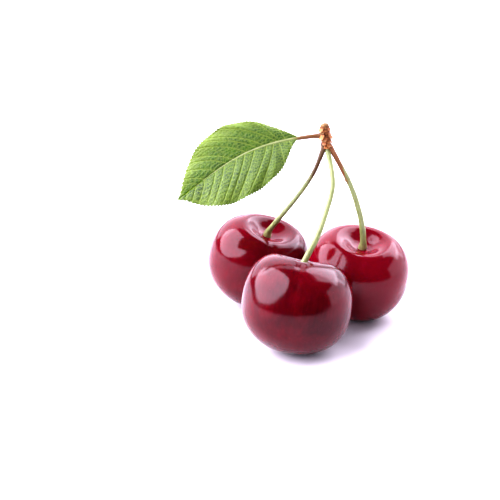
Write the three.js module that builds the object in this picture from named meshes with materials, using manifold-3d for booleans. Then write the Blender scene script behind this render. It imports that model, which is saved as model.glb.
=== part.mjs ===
// A bunch of three sweet cherries on one fruiting spur, with the one leaf that grew beside them.
// The bunch sits on its three fruits. Millimetres, +Z up; +X is to the leaf's right and +Y leads away from its face.
import * as THREE from "three";
import { mergeVertices } from "three/addons/utils/BufferGeometryUtils.js";
import Module from "manifold-3d";

const wasm = await Module();
wasm.setup();

// ---- Driving dimensions ----

const FRUIT_WIDTH = 28; // across the cheeks of the largest fruit
const FRUIT_THICKNESS = 26.4; // from the suture side to the side behind it
const CROWN_HEIGHT = 12; // from the widest level to where the top would be with no stem cavity
const TIP_DEPTH = 12.9; // from the widest level down to the tip
const CAVITY_SHARE = 0.3; // of the crown height, how deep the stem cavity goes
const CAVITY_ANGLE = 0.42; // half angle of the cavity, seen from the fruit's centre, in radians
const FULLNESS = 2.5; // 2 is an ellipsoid, and more makes the shoulders fuller
const SADDLE = 0.045; // how far the rim of the cavity rises at the cheeks and dips between them, as a share
const LOPSIDED = 0.035; // how far one shoulder stands above the rest, as a share
const REST_DEPTH = 0.22; // how far the skin is pressed flat where a fruit rests

const STEM_RADIUS = 0.66;
const STEM_FOOT_RADIUS = 1.15; // the swollen end in the fruit's cavity
const STEM_FOOT_RISE = 1.4; // how far it rises square to the cavity's floor before it bends
const STEM_HEAD_RADIUS = 0.7; // the end at the spur
const STEM_SIDES = 8;
const STEM_STEPS = 20;
const GAP = 0.3; // left between pieces that touch

const SPUR_TOP = new THREE.Vector3(6.95, 17, 55.2);
const SPUR_BOTTOM = new THREE.Vector3(7.7, 17, 48.8);
const SPUR_RADIUS = 0.95;
const STEM_RING_RADIUS = 1.06; // the stems leave the spur's end on a circle of this radius

const SCALE_THICKNESS = 0.28;
const SCALE_LENGTH = 1.75;
const SCALE_SPAN = 1.5; // how far round the spur one bud scale reaches, in radians
const SCALE_FLARE = 0.32; // how far its tip stands off

const LEAF_BASE = new THREE.Vector3(0.28, 16.5, 51.39);
const LEAF_TIP = new THREE.Vector3(-30.3, 9.16, 37.22);
const LEAF_FACE = new THREE.Vector3(-0.1, -0.78, 0.62).normalize(); // the way its upper side looks
const LEAF_HALF_WIDTH = { upper: 8.8, lower: 10.6 };
const LEAF_THICKNESS = 0.4;
const LEAF_BOW = 2.3; // how far the midrib bows towards the upper half
const LEAF_FOLD = Math.tan(THREE.MathUtils.degToRad(14)); // each half rises from the midrib at this slope
const LEAF_CURL = 1.9; // how far the margin rolls back
const LEAF_DROOP = 1.6; // how far the blade arches between its base and tip
const VEIN_SLANT = 1.05; // side veins run this far forward for each unit they run out
const TEETH = 30; // down each margin
const TOOTH_DEPTH = 0.5;
const PETIOLE_RADIUS = 0.5;
const MIDRIB_END_RADIUS = 0.16;

// Each fruit: where its centre stands, its size against the largest, how its stem axis leans and is turned, and the
// bearing of its higher shoulder, in degrees.
const FRUITS = [
  { name: "front", at: [0, 0], size: 1, back: 20, right: 9, turn: -6, high: 180 },
  { name: "left", at: [-9.8, 30], size: 0.957, back: -10, right: 18, turn: 8, high: 40 },
  { name: "right", at: [16.7, 21.4], size: 0.964, back: -14, right: 6, turn: -8, high: 150 },
];

// Each stem: its place round the spur's end, and the points it bends through on its way up there.
const STEMS = {
  front: { bearing: 95, through: [[5.0, 5.9, 28.5], [7.6, 9.3, 34.8], [9.1, 12.6, 41.0]] },
  left: { bearing: 215, through: [[-4.1, 26.3, 26.0], [0.6, 23.0, 33.4], [4.6, 19.7, 41.2]] },
  right: { bearing: -25, through: [[17.4, 18.3, 26.0], [16.2, 18.0, 31.6], [13.7, 17.6, 38.8]] },
};

// Bud scales stand in three tiers; the leaf stalk takes one place in the middle tier.
const SCALE_TIERS = [
  { along: 0.2, bearings: [250, 10, 130] },
  { along: 0.52, bearings: [300, 60] },
  { along: 0.86, bearings: [240, 0, 120] },
];

// ---- Materials ----

const material = (color, roughness) => new THREE.MeshStandardMaterial({ color, roughness, metalness: 0 });
const fruitSkin = material(0x76020f, 0.16);
const stemSkin = material(0xcdd08f, 0.55);
const bark = material(0xa8622e, 0.8);
const scaleSkin = material(0xc98a55, 0.7);
const leafSkin = material(0x86a84c, 0.55);

// ---- Helpers ----

const merged = (geometry) => {
  geometry.deleteAttribute("normal");
  geometry.deleteAttribute("uv");
  return mergeVertices(geometry, 1e-4);
};

// Moves every vertex of a geometry to place(vertex).
function reshape(geometry, place) {
  const position = geometry.getAttribute("position");
  const vertex = new THREE.Vector3();
  for (let i = 0; i < position.count; i++) {
    const moved = place(vertex.fromBufferAttribute(position, i));
    position.setXYZ(i, moved.x, moved.y, moved.z);
  }
  return geometry;
}

const toSolid = (geometry) => {
  const closed = merged(geometry);
  return new wasm.Manifold(
    new wasm.Mesh({
      numProp: 3,
      vertProperties: closed.getAttribute("position").array,
      triVerts: new Uint32Array(closed.index.array),
    }),
  );
};

const toGeometry = (solid) => {
  const mesh = solid.getMesh();
  return new THREE.BufferGeometry()
    .setAttribute("position", new THREE.BufferAttribute(new Float32Array(mesh.vertProperties), 3))
    .setIndex(new THREE.BufferAttribute(new Uint32Array(mesh.triVerts), 1));
};

const named = (name, geometry, skin) => {
  const mesh = new THREE.Mesh(geometry, skin);
  mesh.name = name;
  return mesh;
};

const bell = (x, middle, width) => Math.exp(-(((x - middle) / width) ** 2));

// A closed round bar along a curve, with radiusAt(share of the way) as its radius. Its sides keep to one reference
// direction, so that it doesn't twist.
function barAlong(curve, radiusAt, sides, steps, reference = new THREE.Vector3(0, 1, 0)) {
  const bar = new THREE.CylinderGeometry(1, 1, 1, sides, steps);
  return reshape(bar, (v) => {
    const t = THREE.MathUtils.clamp(v.y + 0.5, 0, 1);
    const along = curve.getTangentAt(t);
    const side = new THREE.Vector3().crossVectors(along, reference).normalize();
    const across = new THREE.Vector3().crossVectors(along, side);
    return curve
      .getPointAt(t)
      .addScaledVector(across, v.x * radiusAt(t))
      .addScaledVector(side, v.z * radiusAt(t));
  });
}

// ---- Fruit: a rounded body with a stem cavity, one high shoulder, and a slightly drawn-out tip ----

// The reach of the skin from the fruit's centre, as a share, at an angle from the stem pole and a bearing round it.
function fleshReach(polar, bearing, high) {
  const roundness =
    (Math.abs(Math.sin(polar)) ** FULLNESS + Math.abs(Math.cos(polar)) ** FULLNESS) ** (-1 / FULLNESS);
  const body = polar < Math.PI / 2 ? roundness : 1 + (roundness - 1) * 0.5;
  const cavity = CAVITY_SHARE * Math.exp(-((polar / CAVITY_ANGLE) ** 3));
  const shoulder =
    bell(polar, 0.62, 0.42) *
    Math.sin(polar) *
    (SADDLE * Math.cos(2 * bearing) + LOPSIDED * Math.cos(bearing - high));
  const tip = 0.02 * bell(polar, Math.PI, 0.4);
  return body - cavity + shoulder + tip;
}

function fleshPoint(polar, bearing, high = 0) {
  const reach = fleshReach(polar, bearing, high);
  const height = Math.cos(polar) > 0 ? CROWN_HEIGHT : TIP_DEPTH;
  return new THREE.Vector3(
    (FRUIT_WIDTH / 2) * reach * Math.sin(polar) * Math.cos(bearing),
    (FRUIT_THICKNESS / 2) * reach * Math.sin(polar) * Math.sin(bearing),
    height * reach * Math.cos(polar),
  );
}

const leanOf = ({ back, right, turn }) => {
  const [x, y, z] = [-back, right, turn].map(THREE.MathUtils.degToRad);
  return new THREE.Matrix4().makeRotationFromEuler(new THREE.Euler(x, y, z, "XYZ"));
};

// Returns the fruit's skin as set down on the surface, with the flat it rests on, and the place and direction of its
// stem pole.
function makeFruit(fruit) {
  const rings = 26;
  const high = THREE.MathUtils.degToRad(fruit.high);
  const spread = (share) => Math.PI * (share - 0.09 * Math.sin(2 * Math.PI * share)); // more rings near both poles
  const profile = [];
  for (let i = 0; i <= rings; i++) {
    const polar = spread(1 - i / rings);
    profile.push(new THREE.Vector2(Math.sin(polar), Math.cos(polar)));
  }
  profile[0].x = 0;
  profile[rings].x = 0;
  const skin = reshape(new THREE.LatheGeometry(profile, 40), (v) => {
    const polar = Math.atan2(Math.hypot(v.x, v.z), v.y);
    return fleshPoint(polar, Math.atan2(-v.z, v.x), high).multiplyScalar(fruit.size);
  });
  const lean = leanOf(fruit);
  skin.applyMatrix4(lean);
  skin.computeBoundingBox();
  const sunk = new THREE.Matrix4().makeTranslation(
    fruit.at[0],
    fruit.at[1],
    -skin.boundingBox.min.z - REST_DEPTH,
  );
  skin.applyMatrix4(sunk);
  let solid = toSolid(skin);
  const below = new THREE.BoxGeometry(100, 100, 10).translate(fruit.at[0], fruit.at[1], -5);
  solid = solid.subtract(toSolid(below));
  const pole = fleshPoint(0, 0).multiplyScalar(fruit.size).applyMatrix4(lean).applyMatrix4(sunk);
  const axis = new THREE.Vector3(0, 0, 1).transformDirection(lean);
  return { geometry: toGeometry(solid), pole, axis };
}

// ---- Stems, spur and bud scales ----

const spurAxis = new THREE.Vector3().subVectors(SPUR_BOTTOM, SPUR_TOP).normalize();
const spurSide = new THREE.Vector3(1, 0, 0).projectOnPlane(spurAxis).normalize();
const spurAway = new THREE.Vector3().crossVectors(spurSide, spurAxis);
const spurLength = SPUR_TOP.distanceTo(SPUR_BOTTOM);

// A point by the spur: how far along from its top, at a bearing round it, and at a radius.
const bySpur = (along, bearing, radius) =>
  SPUR_TOP.clone()
    .addScaledVector(spurAxis, along)
    .addScaledVector(spurSide, radius * Math.cos(bearing))
    .addScaledVector(spurAway, radius * Math.sin(bearing));

function makeStem(stem, pole, axis) {
  const foot = pole.clone().addScaledVector(axis, GAP);
  const head = bySpur(spurLength + GAP, THREE.MathUtils.degToRad(stem.bearing), STEM_RING_RADIUS);
  const rise = foot.clone().addScaledVector(axis, STEM_FOOT_RISE);
  const bends = stem.through.map((point) => new THREE.Vector3(...point));
  const curve = new THREE.CatmullRomCurve3([foot, rise, ...bends, head], false, "centripetal");
  const radiusAt = (t) =>
    STEM_RADIUS +
    (STEM_FOOT_RADIUS - STEM_RADIUS) * bell(t, 0, 0.055) +
    (STEM_HEAD_RADIUS - STEM_RADIUS) * bell(t, 1, 0.12);
  return barAlong(curve, radiusAt, STEM_SIDES, STEM_STEPS);
}

// The spur: a short knob of wood, ringed where each tier of bud scales sits, and domed where it was picked.
function makeSpur() {
  const rings = 16;
  const profile = [new THREE.Vector2(0, 0)];
  for (let i = 1; i < rings; i++) {
    const share = i / rings;
    const dome = Math.sqrt(1 - (1 - Math.min(1, share / 0.18)) ** 2);
    const knuckles = 0.1 * Math.cos(share * 3 * 2 * Math.PI);
    profile.push(new THREE.Vector2(dome * (SPUR_RADIUS + knuckles + 0.5 * bell(share, 1.06, 0.14)), share));
  }
  profile.push(new THREE.Vector2(SPUR_RADIUS + 0.42, 1), new THREE.Vector2(0, 1));
  return reshape(new THREE.LatheGeometry(profile, 14), (v) =>
    bySpur(v.y * spurLength, Math.atan2(v.z, v.x), Math.hypot(v.x, v.z)),
  );
}

// A bud scale: a small curved tongue that hugs the spur at its root and stands off at its rounded tip.
function makeScale(along, bearing) {
  return reshape(new THREE.BoxGeometry(1, 1, 1, 4, 4, 1), (v) => {
    const down = v.y + 0.5;
    const narrowing = Math.sqrt(1 - (0.8 * down) ** 2.5);
    const radius =
      SPUR_RADIUS + 0.12 + GAP + SCALE_THICKNESS * (v.z + 0.5) + SCALE_FLARE * down ** 2;
    return bySpur(along + SCALE_LENGTH * down, bearing - v.x * SCALE_SPAN * narrowing, radius);
  });
}

// ---- Leaf ----

const leafLength = LEAF_BASE.distanceTo(LEAF_TIP);
const leafAlong = new THREE.Vector3().subVectors(LEAF_TIP, LEAF_BASE).normalize();
const leafFace = LEAF_FACE.clone().projectOnPlane(leafAlong).normalize();
const leafUp = new THREE.Vector3().crossVectors(leafAlong, leafFace);

const smooth = (x) => THREE.MathUtils.smoothstep(x, 0, 1);
const halfWidth = (t, side) => {
  const [most, taper] = side > 0 ? [LEAF_HALF_WIDTH.upper, 0.25] : [LEAF_HALF_WIDTH.lower, 0.5];
  const power = 0.55 + taper * (1 - t) ** 5 + 0.25 * t ** 8; // a larger power draws the outline in
  return 0.3 + most * Math.max(0, Math.sin(Math.PI * t)) ** power * (1 - t ** 10);
};
const midribBow = (t) => LEAF_BOW * Math.sin(Math.PI * t) * (1.35 - 0.75 * t);

// A point of the blade. t is where its side vein meets the margin, as a share of the length; out is 0 on the midrib
// and 1 on the margin; side is 1 for the upper half and -1 for the lower; lift is the height above the middle surface.
function leafPoint(t, out, side, lift) {
  const width = halfWidth(t, side);
  const slant = (VEIN_SLANT * smooth(t / 0.6) * width) / leafLength;
  const t0 = Math.max(0, t - slant);
  const share = t0 + (t - t0) * (0.75 * out + 0.25 * out * out);
  const tooth = (t * TEETH) % 1;
  const edge = TOOTH_DEPTH * (tooth - 0.5) * smooth((out - 0.8) / 0.2) * smooth(t / 0.1) * smooth((1 - t) / 0.06);
  const across = width * out + edge;
  const rise =
    LEAF_FOLD * width * out -
    LEAF_CURL * out ** 3 * Math.sin(Math.PI * t) +
    LEAF_DROOP * Math.sin(Math.PI * share) +
    0.35 * out * out * Math.sin(9 * Math.PI * t + side);
  return LEAF_BASE.clone()
    .addScaledVector(leafAlong, share * leafLength)
    .addScaledVector(leafUp, midribBow(share) + side * across)
    .addScaledVector(leafFace, rise + lift);
}

const BLADE_COLUMNS = 6;
function makeBlade() {
  const rows = TEETH * 2;
  return reshape(new THREE.BoxGeometry(1, 1, 1, BLADE_COLUMNS, rows, 1), (v) => {
    const row = Math.round((v.y + 0.5) * rows);
    const t = THREE.MathUtils.clamp(row / rows + (row % 2) * (0.45 / rows), 0, 1); // a tooth rises, then drops
    return leafPoint(t, Math.abs(v.x) * 2, v.x < 0 ? -1 : 1, v.z * LEAF_THICKNESS);
  });
}

// The stalk starts at the spur, runs into the blade's base and goes on under the blade as its midrib.
const PETIOLE_ROOT = bySpur(spurLength * 0.5, Math.PI, SPUR_RADIUS + 0.1 + GAP);
function makeStalk() {
  const under = -LEAF_THICKNESS * 0.7;
  const points = [
    PETIOLE_ROOT,
    PETIOLE_ROOT.clone().lerp(LEAF_BASE, 0.5),
  ];
  for (let i = 0; i <= 8; i++) {
    const t = (i / 8) * 0.9;
    points.push(
      LEAF_BASE.clone()
        .addScaledVector(leafAlong, t * leafLength)
        .addScaledVector(leafUp, midribBow(t))
        .addScaledVector(leafFace, LEAF_DROOP * Math.sin(Math.PI * t) + under),
    );
  }
  const curve = new THREE.CatmullRomCurve3(points);
  const radiusAt = (t) =>
    THREE.MathUtils.lerp(PETIOLE_RADIUS, MIDRIB_END_RADIUS, smooth((t - 0.15) / 0.85)) + 0.25 * bell(t, 0, 0.03);
  return barAlong(curve, radiusAt, 6, 26, leafFace);
}

// ---- Assembly ----

const bunch = new THREE.Group();
for (const fruit of FRUITS) {
  const { geometry, pole, axis } = makeFruit(fruit);
  bunch.add(named(`fruit_${fruit.name}`, geometry, fruitSkin));
  bunch.add(named(`stem_${fruit.name}`, makeStem(STEMS[fruit.name], pole, axis), stemSkin));
}
bunch.add(named("spur", makeSpur(), bark));
let scaleNumber = 0;
for (const { along, bearings } of SCALE_TIERS) {
  for (const bearing of bearings) {
    scaleNumber += 1;
    const root = along * (spurLength - SCALE_LENGTH);
    bunch.add(
      named(`bud_scale_${scaleNumber}`, makeScale(root, THREE.MathUtils.degToRad(bearing)), scaleSkin),
    );
  }
}
bunch.add(named("leaf", toGeometry(toSolid(makeBlade()).add(toSolid(makeStalk()))), leafSkin));

// The origin is on the surface, under the middle of the bunch.
const extent = new THREE.Box3().setFromObject(bunch);
const middle = extent.getCenter(new THREE.Vector3());
const part = new THREE.Group();
bunch.position.set(-middle.x, -middle.y, -extent.min.z);
part.add(bunch);

export default part;
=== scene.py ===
# %% [markdown]
# # A bunch of sweet cherries
# Three cherries hang on long stems from one short woody spur, which also carries a leaf. The bunch
# sits on its fruits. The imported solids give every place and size, and this lesson gives each of
# them its real surface. Lengths are thought of in millimetres and handed to Blender in metres.

# %% Load the frame
import math

import bpy
import numpy as np
from mathutils import Matrix, Vector


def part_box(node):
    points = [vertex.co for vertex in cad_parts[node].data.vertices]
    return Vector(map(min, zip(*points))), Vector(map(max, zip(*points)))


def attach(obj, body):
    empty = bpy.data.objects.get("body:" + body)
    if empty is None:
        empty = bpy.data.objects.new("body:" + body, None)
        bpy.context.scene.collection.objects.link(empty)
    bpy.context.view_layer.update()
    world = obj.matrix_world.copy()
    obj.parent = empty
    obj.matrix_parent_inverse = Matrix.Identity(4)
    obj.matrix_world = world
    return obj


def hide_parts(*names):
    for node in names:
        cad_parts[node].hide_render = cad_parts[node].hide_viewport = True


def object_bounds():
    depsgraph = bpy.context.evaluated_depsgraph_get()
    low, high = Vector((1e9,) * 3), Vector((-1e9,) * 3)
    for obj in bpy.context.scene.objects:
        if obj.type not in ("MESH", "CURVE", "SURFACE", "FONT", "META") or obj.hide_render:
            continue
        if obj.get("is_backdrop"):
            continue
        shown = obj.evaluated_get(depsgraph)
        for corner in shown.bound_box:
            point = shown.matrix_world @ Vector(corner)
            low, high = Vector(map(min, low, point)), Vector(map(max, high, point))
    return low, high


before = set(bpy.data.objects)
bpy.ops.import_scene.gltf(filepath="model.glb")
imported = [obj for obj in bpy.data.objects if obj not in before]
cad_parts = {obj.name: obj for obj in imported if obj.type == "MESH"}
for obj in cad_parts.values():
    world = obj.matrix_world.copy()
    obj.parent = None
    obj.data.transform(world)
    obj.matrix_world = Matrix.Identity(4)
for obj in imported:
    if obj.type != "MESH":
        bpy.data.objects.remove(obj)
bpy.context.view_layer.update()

MM = 0.001

# %% [markdown]
# ## Tools for node trees
# Shapes and finishes are both made with nodes here. One function adds any node, sets what it is
# told and links what it is given, so a formula reads from top to bottom. Another turns a hex
# colour, which is written as the eye sees it, into the linear light that shaders work in.

# %% Add a node, open a tree, run a tree
def add(tree, kind, inputs=(), **settings):
    """Adds a node. Inputs come in order or as {socket: value}; a node means its first output."""
    node = tree.nodes.new(kind)
    for name, value in settings.items():
        setattr(node, name, value)
    for key, value in inputs.items() if isinstance(inputs, dict) else enumerate(inputs):
        if isinstance(value, bpy.types.Node):
            value = value.outputs[0]
        if isinstance(value, bpy.types.NodeSocket):
            tree.links.new(value, node.inputs[key])
        elif value is not None:
            node.inputs[key].default_value = value
    return node


MATH, VECTOR_MATH, MIX = "ShaderNodeMath", "ShaderNodeVectorMath", "ShaderNodeMix"
RANGE, NOISE = "ShaderNodeMapRange", "ShaderNodeTexNoise"
ATTRIBUTE, STORE = "ShaderNodeAttribute", "GeometryNodeStoreNamedAttribute"
FLOAT, VECTOR, COUNT = "NodeSocketFloat", "NodeSocketVector", "NodeSocketInt"
GEOMETRY, MATERIAL = "NodeSocketGeometry", "NodeSocketMaterial"


def open_tree(name, numbers, **others):
    """A new geometry tree with inputs named in a list of numbers and by kind, and those inputs."""
    tree = bpy.data.node_groups.new(name, "GeometryNodeTree")
    sockets = {"Geometry": GEOMETRY, **dict.fromkeys(numbers.split(", "), FLOAT), **others}
    for socket_name, kind in sockets.items():
        tree.interface.new_socket(socket_name, in_out="INPUT", socket_type=kind)
    tree.interface.new_socket("Geometry", in_out="OUTPUT", socket_type=GEOMETRY)
    return tree, tree.nodes.new("NodeGroupInput").outputs


def close_tree(tree, geometry, material):
    """Ends a tree: copies become real faces, shaded smooth, in one material."""
    real = add(tree, "GeometryNodeRealizeInstances", [geometry])
    smooth = add(tree, "GeometryNodeSetShadeSmooth", [real])
    painted = add(tree, "GeometryNodeSetMaterial", {"Geometry": smooth, "Material": material})
    add(tree, "NodeGroupOutput", [painted])


def show(name, data):
    """A new object in the scene: a mesh, a lamp or a camera."""
    thing = bpy.data.objects.new(name, data)
    bpy.context.scene.collection.objects.link(thing)
    return thing


def mark(mesh, name, values):
    """Keeps a number for each point of a mesh, for trees and finishes to read by name."""
    numbers = np.ravel(values).astype(np.float32)
    mesh.attributes.new(name, "FLOAT", "POINT").data.foreach_set("value", numbers)


def grow(name, tree, values, seed=None):
    """Runs a tree on a seed mesh, with its inputs set, and returns a plain mesh object."""
    carrier = show(name + "_carrier", seed or bpy.data.meshes.new(name))
    modifier = carrier.modifiers.new("grow", "NODES")
    modifier.node_group = tree
    for socket in tree.interface.items_tree:
        if socket.in_out == "INPUT" and socket.name in values:
            modifier[socket.identifier] = values[socket.name]
    evaluated = carrier.evaluated_get(bpy.context.evaluated_depsgraph_get())
    mesh = bpy.data.meshes.new_from_object(evaluated)
    mesh.name = name
    bpy.data.objects.remove(carrier)
    return show(name, mesh)


def chained(points, edges=None):
    """A seed mesh: points joined into one chain, or as the given edges say."""
    seed = bpy.data.meshes.new("chain")
    pairs = [(i, i + 1) for i in range(len(points) - 1)] if edges is None else edges
    seed.from_pydata([tuple(p) for p in points], pairs, [])
    return seed


def settle(piece, slot, *nodes):
    """A finished piece rides on the bunch's one body and stands for its CAD nodes."""
    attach(piece, "root")
    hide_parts(*nodes)
    print(piece.name, "has", len(piece.data.polygons), "faces")

# %% Colour and finish
def linear(hex_colour):
    """An sRGB hex colour as linear RGBA."""
    values = [int(hex_colour[i : i + 2], 16) / 255 for i in (1, 3, 5)]
    return [v / 12.92 if v <= 0.04045 else ((v + 0.055) / 1.055) ** 2.4 for v in values] + [1]


def open_finish(name, **constants):
    """A material and its tree. Constants go straight on the Principled shader's sockets."""
    finish = bpy.data.materials.new(name)
    finish.use_nodes = True
    shader = finish.node_tree.nodes["Principled BSDF"]
    for socket, value in constants.items():
        shader.inputs[socket.replace("_", " ")].default_value = value
    return finish, finish.node_tree


def close_finish(finish, colour, relief, strength, depth):
    """Ends a finish: its colour and a bump, with a depth in millimetres, go to the shader."""
    tree = finish.node_tree
    shader = tree.nodes["Principled BSDF"]
    tree.links.new(colour, shader.inputs["Base Color"])
    bump = add(tree, "ShaderNodeBump", {"Strength": strength, "Distance": depth * MM, "Height": relief})
    tree.links.new(bump.outputs[0], shader.inputs["Normal"])
    print("finish:", finish.name)

# %% [markdown]
# ## The skin of a sweet cherry
# Ripe sweet cherry skin is thin, waxy and almost wet-looking over dark red flesh. The eye gets
# three things from it: mirror-like highlights from the wax, a crimson glow where light passes into
# the flesh, and a faint grain of paler dots and short streaks that run from stem to tip. The
# streaks follow the fruit and not the room, so the pattern reads an attribute that each fruit
# keeps: where a point was on the ball that the fruit grew from.

# %% Cherry skin
skin, tree = open_finish(
    "waxy_cherry_skin", Roughness=0.13, IOR=1.34,
    Subsurface_Weight=0.5, Subsurface_Scale=2.5 * MM, Subsurface_Radius=(1.0, 0.05, 0.08),
)
ball = add(tree, ATTRIBUTE, attribute_name="ball").outputs["Vector"]
height = add(tree, "ShaderNodeSeparateXYZ", [ball]).outputs["Z"]
# A streak is about 0.7 mm wide and 5 mm long on a fruit of 14 mm radius.
stretched = add(tree, VECTOR_MATH, [ball, (20, 20, 3)], operation="MULTIPLY")
streaks = add(tree, NOISE, {"Vector": stretched, "Scale": 1.0, "Detail": 4.0, "Roughness": 0.6})
clouds = add(tree, NOISE, {"Vector": ball, "Scale": 1.7, "Detail": 2.0})
mixed = add(tree, MATH, [streaks, 0.45, clouds], operation="MULTIPLY_ADD")
share = add(tree, RANGE, [mixed, 0.5, 0.95, 0, 1])
flesh = add(tree, MIX, {0: share, 6: linear("#3e0009"), 7: linear("#5a0010")}, data_type="RGBA")
# No two cherries are equally ripe: a less ripe one is a lighter crimson.
ripeness = add(tree, ATTRIBUTE, attribute_name="ripeness").outputs["Fac"]
ripe = add(tree, MIX, {0: ripeness, 6: linear("#75031b"), 7: flesh.outputs[2]}, data_type="RGBA")
# A lighter crimson is painted in the stem cavity, near the top of the ball: painted light where the tops
# catch the light.
painted_light_near_stem = add(tree, RANGE, [height, 0.9, 0.995, 0, 0.75])
# Pale dots of 0.25 mm, about 1.3 mm apart.
cells = add(tree, "ShaderNodeTexVoronoi", {"Vector": ball, "Scale": 11.0})
dots = add(tree, RANGE, [cells, 0.13, 0.07, 0, 0.22])
# The blossom's scar: a corky dot of about 1.2 mm at the lower tip.
scar = add(tree, RANGE, [height, -0.9988, -0.9994, 0, 0.85])
colour = ripe.outputs[2]
for amount, tint in ((painted_light_near_stem, "#750d21"), (dots, "#7a2134"), (scar, "#664229")):
    colour = add(tree, MIX, {0: amount, 6: colour, 7: linear(tint)}, data_type="RGBA").outputs[2]
# Fine unevenness of about 0.6 mm makes the highlights' edges waver a little.
grain = add(tree, NOISE, {"Vector": ball, "Scale": 24.0, "Detail": 2.0})
close_finish(skin, colour, grain, strength=0.1, depth=0.1)

# %% [markdown]
# ## The fruit as a rule
# A cherry isn't a ball. Its shoulders are full, the rim of the stem cavity rises at the two cheeks
# and dips between them, one shoulder stands higher, and a faint seam runs down one side. It could
# be sculpted, but three fruits that are alike and yet lean differently are better as one rule: a
# Geometry Nodes tree pushes each point of a ball in or out by its angle from the stem and its
# bearing round the fruit, then leans the fruit and sets it on the surface.

# %% The fruit tree
def bell(tree, value, centre, width):
    """The bell exp(-((value - centre) / width)^2): 1 at its centre, fading on both sides."""
    off = add(tree, MATH, [value, centre], operation="SUBTRACT")
    share = add(tree, MATH, [off, width], operation="DIVIDE")
    square = add(tree, MATH, [share, share], operation="MULTIPLY")
    falling = add(tree, MATH, [square, -1.0], operation="MULTIPLY")
    return add(tree, MATH, [falling], operation="EXPONENT")


fruit_tree, given = open_tree(
    "cherry",
    "Width, Thickness, Crown height, Tip depth, Fullness, Cavity share, Cavity angle, Saddle, Lopsided, "
    "High side, Seam, Tip dent, Unevenness, Size, Pressed, Ripeness, Seed",
    Lean=VECTOR, Skin=MATERIAL,
)
tree = fruit_tree
ball = add(tree, "GeometryNodeMeshUVSphere", {"Segments": 160, "Rings": 110, "Radius": 1.0})
place = add(tree, "GeometryNodeInputPosition")
kept = add(tree, STORE, {"Geometry": ball, "Name": "ball", "Value": place}, data_type="FLOAT_VECTOR")
east, north, rise = add(tree, "ShaderNodeSeparateXYZ", [place]).outputs
polar = add(tree, MATH, [rise], operation="ARCCOSINE")
sine = add(tree, MATH, [polar], operation="SINE")
bearing = add(tree, MATH, [north, east], operation="ARCTAN2")
print("fruit tree's ball:", len(tree.nodes), "nodes")

# %% Shoulders and stem cavity
# Full shoulders above, an easier curve below: the bulge counts half there.
level = add(tree, MATH, [rise], operation="ABSOLUTE")
side_power = add(tree, MATH, [sine, given["Fullness"]], operation="POWER")
level_power = add(tree, MATH, [level, given["Fullness"]], operation="POWER")
both = add(tree, MATH, [side_power, level_power], operation="ADD")
root = add(tree, MATH, [-1.0, given["Fullness"]], operation="DIVIDE")
fullness = add(tree, MATH, [both, root], operation="POWER")
bulge = add(tree, MATH, [fullness, 1.0], operation="SUBTRACT")
above = add(tree, MATH, [rise, 0.0], operation="GREATER_THAN")
softness = add(tree, MATH, [above, 0.5, 0.5], operation="MULTIPLY_ADD")
body = add(tree, MATH, [bulge, softness, 1.0], operation="MULTIPLY_ADD")

# The stem cavity: a hollow with a crisp lip, since it falls off with a high power of the angle.
LIP_POWER = 4.5
near = add(tree, MATH, [polar, given["Cavity angle"]], operation="DIVIDE")
steep = add(tree, MATH, [near, LIP_POWER], operation="POWER")
falling = add(tree, MATH, [steep, -1.0], operation="MULTIPLY")
hollow = add(tree, MATH, [falling], operation="EXPONENT")
cavity = add(tree, MATH, [hollow, given["Cavity share"]], operation="MULTIPLY")
print("with its cavity:", len(tree.nodes), "nodes")

# %% Rim, seam, dent and unevenness
# The rim: two waves for the cheeks, one for the high shoulder, both strongest on the shoulder.
SHOULDER_ANGLE, SHOULDER_SPREAD = 0.58, 0.4
twice = add(tree, MATH, [bearing, 2.0], operation="MULTIPLY")
two_waves = add(tree, MATH, [twice], operation="COSINE")
cheeks = add(tree, MATH, [two_waves, given["Saddle"]], operation="MULTIPLY")
turned = add(tree, MATH, [bearing, given["High side"]], operation="SUBTRACT")
one_wave = add(tree, MATH, [turned], operation="COSINE")
wave = add(tree, MATH, [one_wave, given["Lopsided"], cheeks], operation="MULTIPLY_ADD")
on_shoulder = bell(tree, polar, SHOULDER_ANGLE, SHOULDER_SPREAD)
on_rim = add(tree, MATH, [on_shoulder, sine], operation="MULTIPLY")
shoulder = add(tree, MATH, [on_rim, wave], operation="MULTIPLY")

# The seam is a soft groove down the side that faces -Y. Its width is a share of the half width.
SEAM_WIDTH = 0.075
facing = add(tree, RANGE, [north, -0.1, -0.6, 0, 1])
seam_here = add(tree, MATH, [bell(tree, east, 0.0, SEAM_WIDTH), facing], operation="MULTIPLY")
seam = add(tree, MATH, [seam_here, given["Seam"]], operation="MULTIPLY")

# A shallow dent at the lower tip, where the blossom's scar sits. Its width is an angle in radians.
DENT_WIDTH = 0.11
at_tip = bell(tree, polar, math.pi, DENT_WIDTH)
dent = add(tree, MATH, [at_tip, given["Tip dent"], seam], operation="MULTIPLY_ADD")

# Slow unevenness, a few millimetres across, so that no two fruits mirror the room alike.
moved = add(tree, VECTOR_MATH, [place, given["Seed"]], operation="ADD")
waves = add(tree, NOISE, {"Vector": moved, "Scale": 1.6, "Detail": 1.0})
centred = add(tree, MATH, [waves, 0.5], operation="SUBTRACT")
uneven = add(tree, MATH, [centred, given["Unevenness"]], operation="MULTIPLY")
print("with its rim and seam:", len(tree.nodes), "nodes")

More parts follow.
